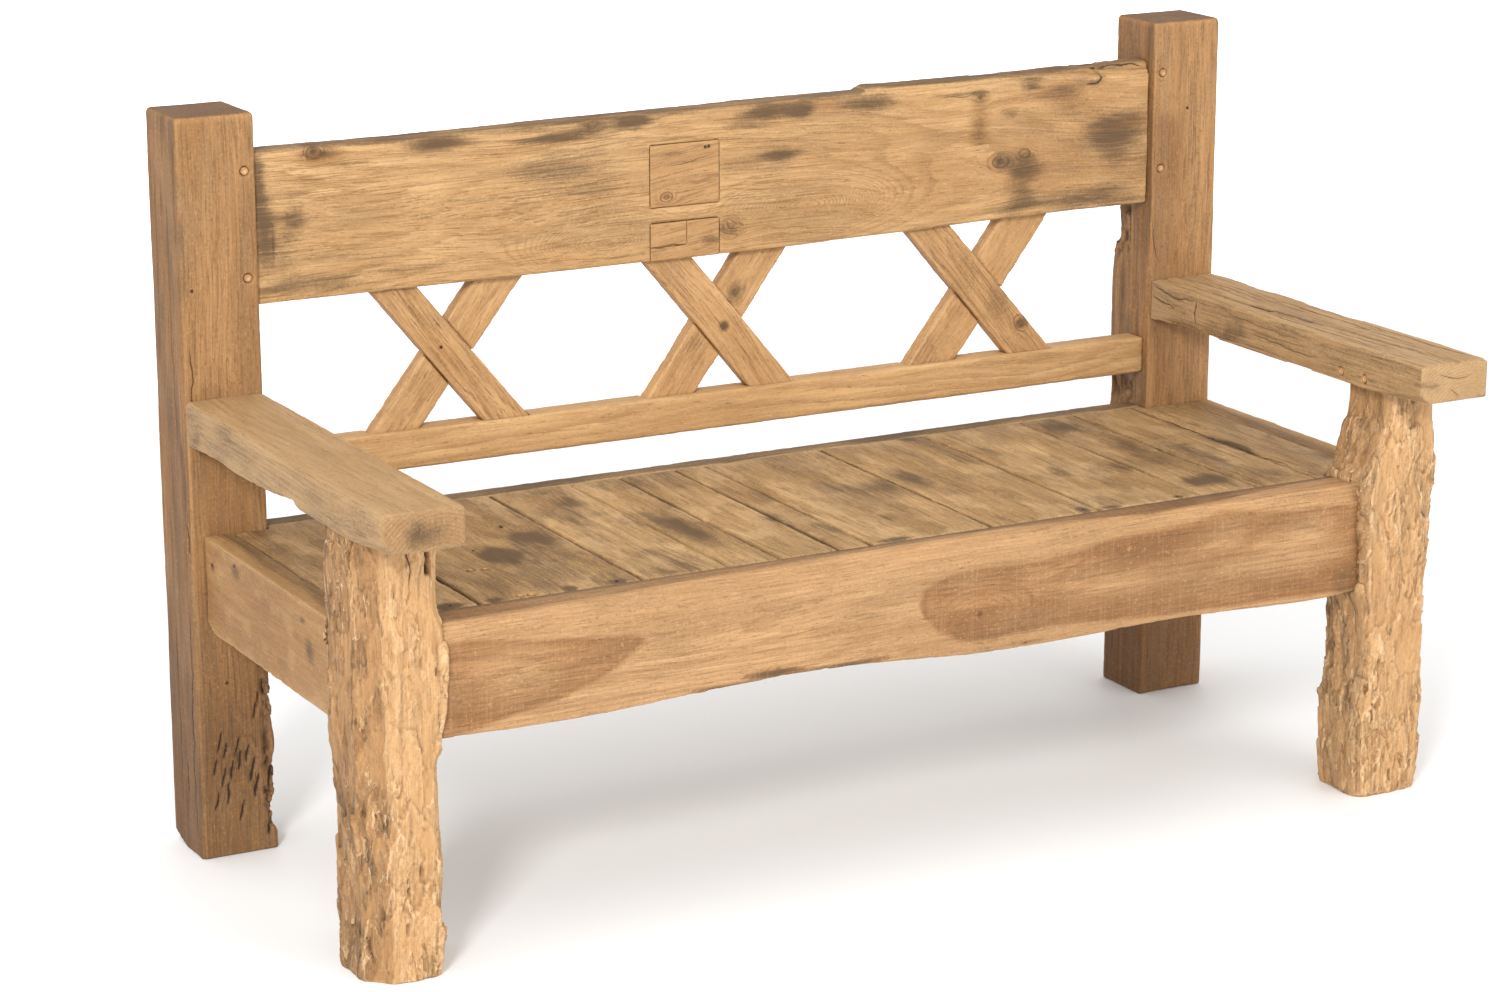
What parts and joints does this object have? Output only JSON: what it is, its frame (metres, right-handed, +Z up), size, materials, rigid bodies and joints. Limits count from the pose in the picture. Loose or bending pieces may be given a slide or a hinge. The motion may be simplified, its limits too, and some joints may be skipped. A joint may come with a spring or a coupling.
{
  "type": "log bench",
  "caption": "Rustic three-seat bench of reclaimed timber: square back posts, rough log front legs, plank arms, crossed back braces and a boarded seat.",
  "frame": {"origin": "centre of the footprint on the floor, midway between the arms' outer edges and midway between the arms' front ends and the posts' backs", "axes": "+X along the bench towards the right arm as the picture shows it, +Y from the front towards the back rest, +Z up"},
  "size_m": [1.6029, 0.746, 1.011],
  "materials": {
    "weathered_post": "old reclaimed timber, greyed and stained, matte",
    "hewn_log": "rough-hewn log, flaked and fluted, matte",
    "worn_arm": "hand-worn timber with checks and worn edges, matte",
    "honey_rail": "planed old teak with dark stains, waxed satin",
    "patch_wood": "let-in repair pieces of the same timber, satin",
    "brace_wood": "planed old teak, satin",
    "front_slab": "natural-edged slab with heartwood figure, saw marks, waxed satin",
    "seat_board_wood": "weathered boards with dark stains, matte",
    "peg_wood": "end grain of hardwood pegs, matte"
  },
  "bodies": {
    "root": {"back_post_left": "weathered_post", "front_leg_left": "hewn_log", "arm_left": "worn_arm", "seat_side_rail_left": "weathered_post", "back_post_right": "weathered_post", "front_leg_right": "hewn_log", "arm_right": "worn_arm", "seat_side_rail_right": "weathered_post", "top_back_rail": "honey_rail", "rail_patch_upper": "patch_wood", "rail_patch_lower": "patch_wood", "rail_patch_small": "patch_wood", "lower_back_rail": "honey_rail", "brace_left_falling": "brace_wood", "brace_left_rising": "brace_wood", "brace_middle_falling": "brace_wood", "brace_middle_rising": "brace_wood", "brace_right_falling": "brace_wood", "brace_right_rising": "brace_wood", "seat_front_rail": "front_slab", "seat_back_rail": "seat_board_wood", "seat_board_01": "seat_board_wood", "seat_board_02": "seat_board_wood", "seat_board_03": "seat_board_wood", "seat_board_04": "seat_board_wood", "seat_board_05": "seat_board_wood", "seat_board_06": "seat_board_wood", "seat_board_07": "seat_board_wood", "seat_board_08": "seat_board_wood", "seat_board_09": "seat_board_wood", "seat_board_10": "seat_board_wood", "seat_board_11": "seat_board_wood", "seat_board_12": "seat_board_wood", "seat_ledger_front": "seat_board_wood", "seat_ledger_back": "seat_board_wood", "rail_pegs": "peg_wood", "arm_pegs": "peg_wood", "seat_plugs": "peg_wood"}
  },
  "joints": []
}
